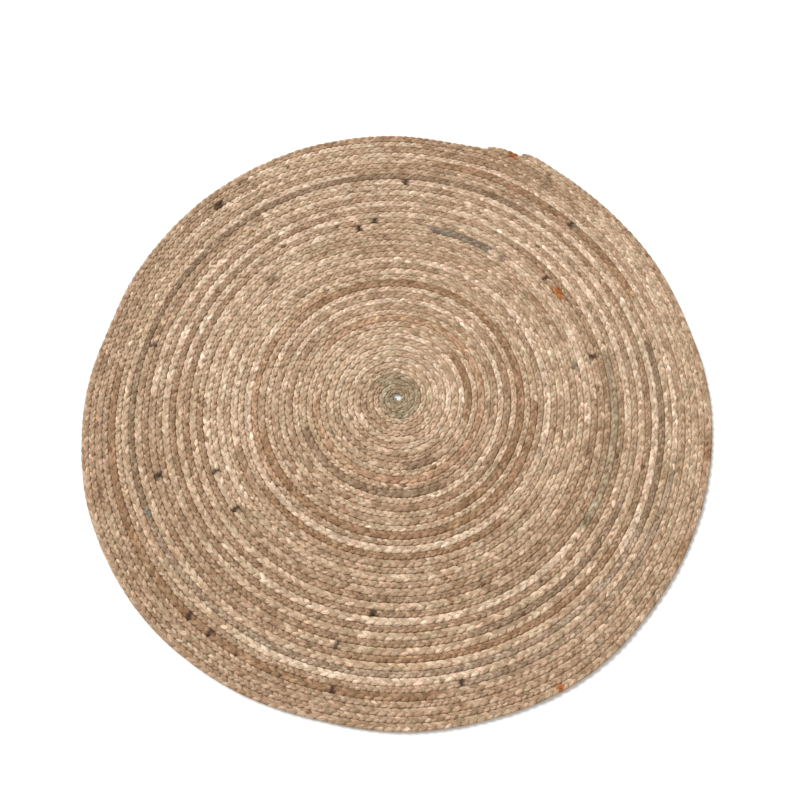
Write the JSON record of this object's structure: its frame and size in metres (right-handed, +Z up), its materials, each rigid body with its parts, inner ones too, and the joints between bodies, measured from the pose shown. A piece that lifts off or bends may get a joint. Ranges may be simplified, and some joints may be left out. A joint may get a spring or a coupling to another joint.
{
  "type": "round jute rug",
  "caption": "Round floor rug of undyed jute, coiled flat from three-strand braids and sewn edge to edge, with a slightly uneven hand-made outline.",
  "frame": {"origin": "centre of the coil, on the underside that lies on the floor", "axes": "+Z up through the thickness, +X to the right and +Y away as the rug is seen from its near side"},
  "size_m": [1.1966, 1.1973, 0.009],
  "materials": {
    "undyed_jute": "undyed jute braid, dry and matt, straw to brown"
  },
  "bodies": {
    "root": {"braided_mat": "undyed_jute"}
  },
  "joints": []
}
